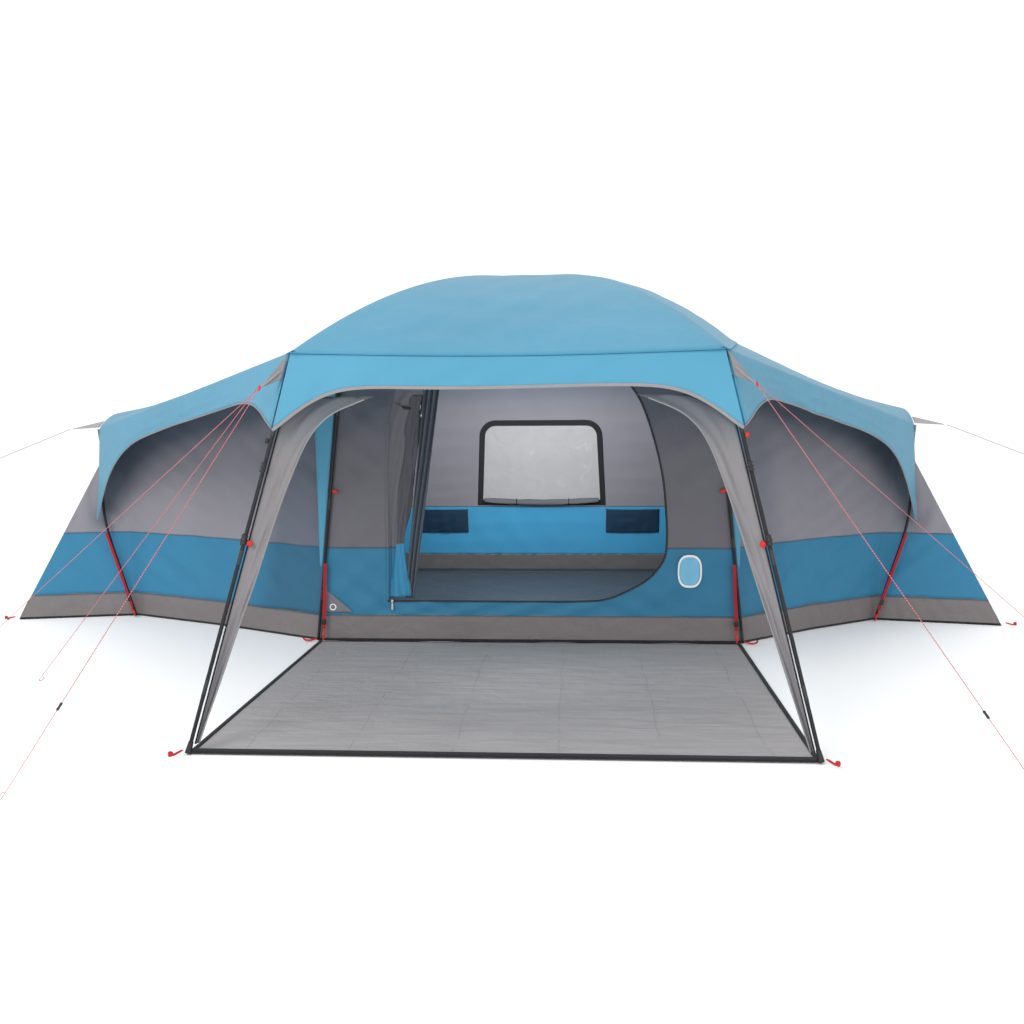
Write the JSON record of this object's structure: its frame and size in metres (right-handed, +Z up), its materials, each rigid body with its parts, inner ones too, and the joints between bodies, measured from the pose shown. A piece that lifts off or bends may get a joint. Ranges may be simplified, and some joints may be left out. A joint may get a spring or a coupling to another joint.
{
  "type": "cabin tent",
  "caption": "Pole-framed family tent with a raised dome over a main room, an open porch on two legs, low side pods, rolled door, window and guy lines.",
  "frame": {"origin": "centre of the main room's floor underside, on the ground", "axes": "+X across the tent through both pods, +Y towards the back wall, +Z up; the porch faces -Y"},
  "size_m": [7.0535, 5.1305, 2.1426],
  "materials": {
    "black_plastic": "satin",
    "film": "translucent film",
    "fly_cloth": "woven polyester, slight sheen",
    "groundsheet": "coated woven sheet, satin",
    "guy_cord": "braided cord, matt",
    "pocket_cloth": "woven polyester, matt",
    "pole": "black, satin",
    "red_plastic": "satin",
    "tape": "woven tape, matt",
    "trim_cloth": "woven polyester, matt",
    "wall_cloth_blue": "woven polyester, matt",
    "wall_cloth_grey": "woven polyester, matt",
    "webbing": "woven webbing, matt",
    "zip_metal": "satin"
  },
  "bodies": {
    "tent": {"back_wall_lower": "wall_cloth_blue", "back_wall_upper": "wall_cloth_grey", "door_curtain": "wall_cloth_grey", "door_roll": "wall_cloth_grey", "door_tie_toggle": "black_plastic", "door_zip_track": "tape", "fly_pod_left": "fly_cloth", "fly_pod_right": "fly_cloth", "fly_roof": "fly_cloth", "fly_strip_left": "fly_cloth", "fly_strip_right": "fly_cloth", "fly_valance_front": "fly_cloth", "fly_valance_rear": "fly_cloth", "front_wall_lower": "wall_cloth_blue", "front_wall_upper": "wall_cloth_grey", "groundsheet_tub": "groundsheet", "guy_front_left": "guy_cord", "guy_front_right": "guy_cord", "guy_rear_left": "guy_cord", "guy_shoulder_left": "guy_cord", "guy_shoulder_right": "guy_cord", "guy_side_left": "guy_cord", "guy_side_right": "guy_cord", "hub_tab_left": "trim_cloth", "hub_tab_right": "trim_cloth", "leg_clip_left": "red_plastic", "leg_clip_right": "red_plastic", "main_pole_a": "pole", "main_pole_b": "pole", "pocket_left": "pocket_cloth", "pocket_right": "pocket_cloth", "pod_pole_left": "pole", "pod_pole_right": "pole", "pod_wall_lower_left": "wall_cloth_blue", "pod_wall_lower_right": "wall_cloth_blue", "pod_wall_upper_left": "wall_cloth_grey", "pod_wall_upper_right": "wall_cloth_grey", "porch_gusset_left": "trim_cloth", "porch_gusset_right": "trim_cloth", "porch_mat": "groundsheet", "room_arch_pole": "pole", "shoulder_tab_left": "trim_cloth", "shoulder_tab_right": "trim_cloth", "stake_pod_left": "red_plastic", "stake_pod_right": "red_plastic", "stake_porch_left": "red_plastic", "stake_porch_right": "red_plastic", "strap_mid_left": "webbing", "strap_mid_right": "webbing", "strap_pod_left": "webbing", "strap_pod_right": "webbing", "window_flap_roll": "tape", "window_frame": "tape", "window_pane": "film"},
    "zip_slider": {"zip_slider": "zip_metal"},
    "tensioner_front_left": {"tensioner_front_left": "black_plastic"},
    "tensioner_front_right": {"tensioner_front_right": "black_plastic"},
    "tensioner_side_left": {"tensioner_side_left": "black_plastic"},
    "tensioner_side_right": {"tensioner_side_right": "black_plastic"}
  },
  "joints": [
    {"name": "door_zip_slide", "type": "slide", "parent": "tent", "child": "zip_slider", "axis": [1, 0, 0], "range_m": [0, 1.08]},
    {"name": "front_left_tensioner_slide", "type": "slide", "parent": "tent", "child": "tensioner_front_left", "axis": [0.4209, 0.4105, 0.8089], "range_m": [-0.12, 0.35]},
    {"name": "front_right_tensioner_slide", "type": "slide", "parent": "tent", "child": "tensioner_front_right", "axis": [-0.4872, 0.3781, 0.7872], "range_m": [-0.12, 0.35]},
    {"name": "side_left_tensioner_slide", "type": "slide", "parent": "tent", "child": "tensioner_side_left", "axis": [0.6947, -0.5645, 0.4458], "range_m": [-0.12, 0.35]},
    {"name": "side_right_tensioner_slide", "type": "slide", "parent": "tent", "child": "tensioner_side_right", "axis": [-0.6516, -0.5891, 0.4778], "range_m": [-0.12, 0.35]}
  ]
}
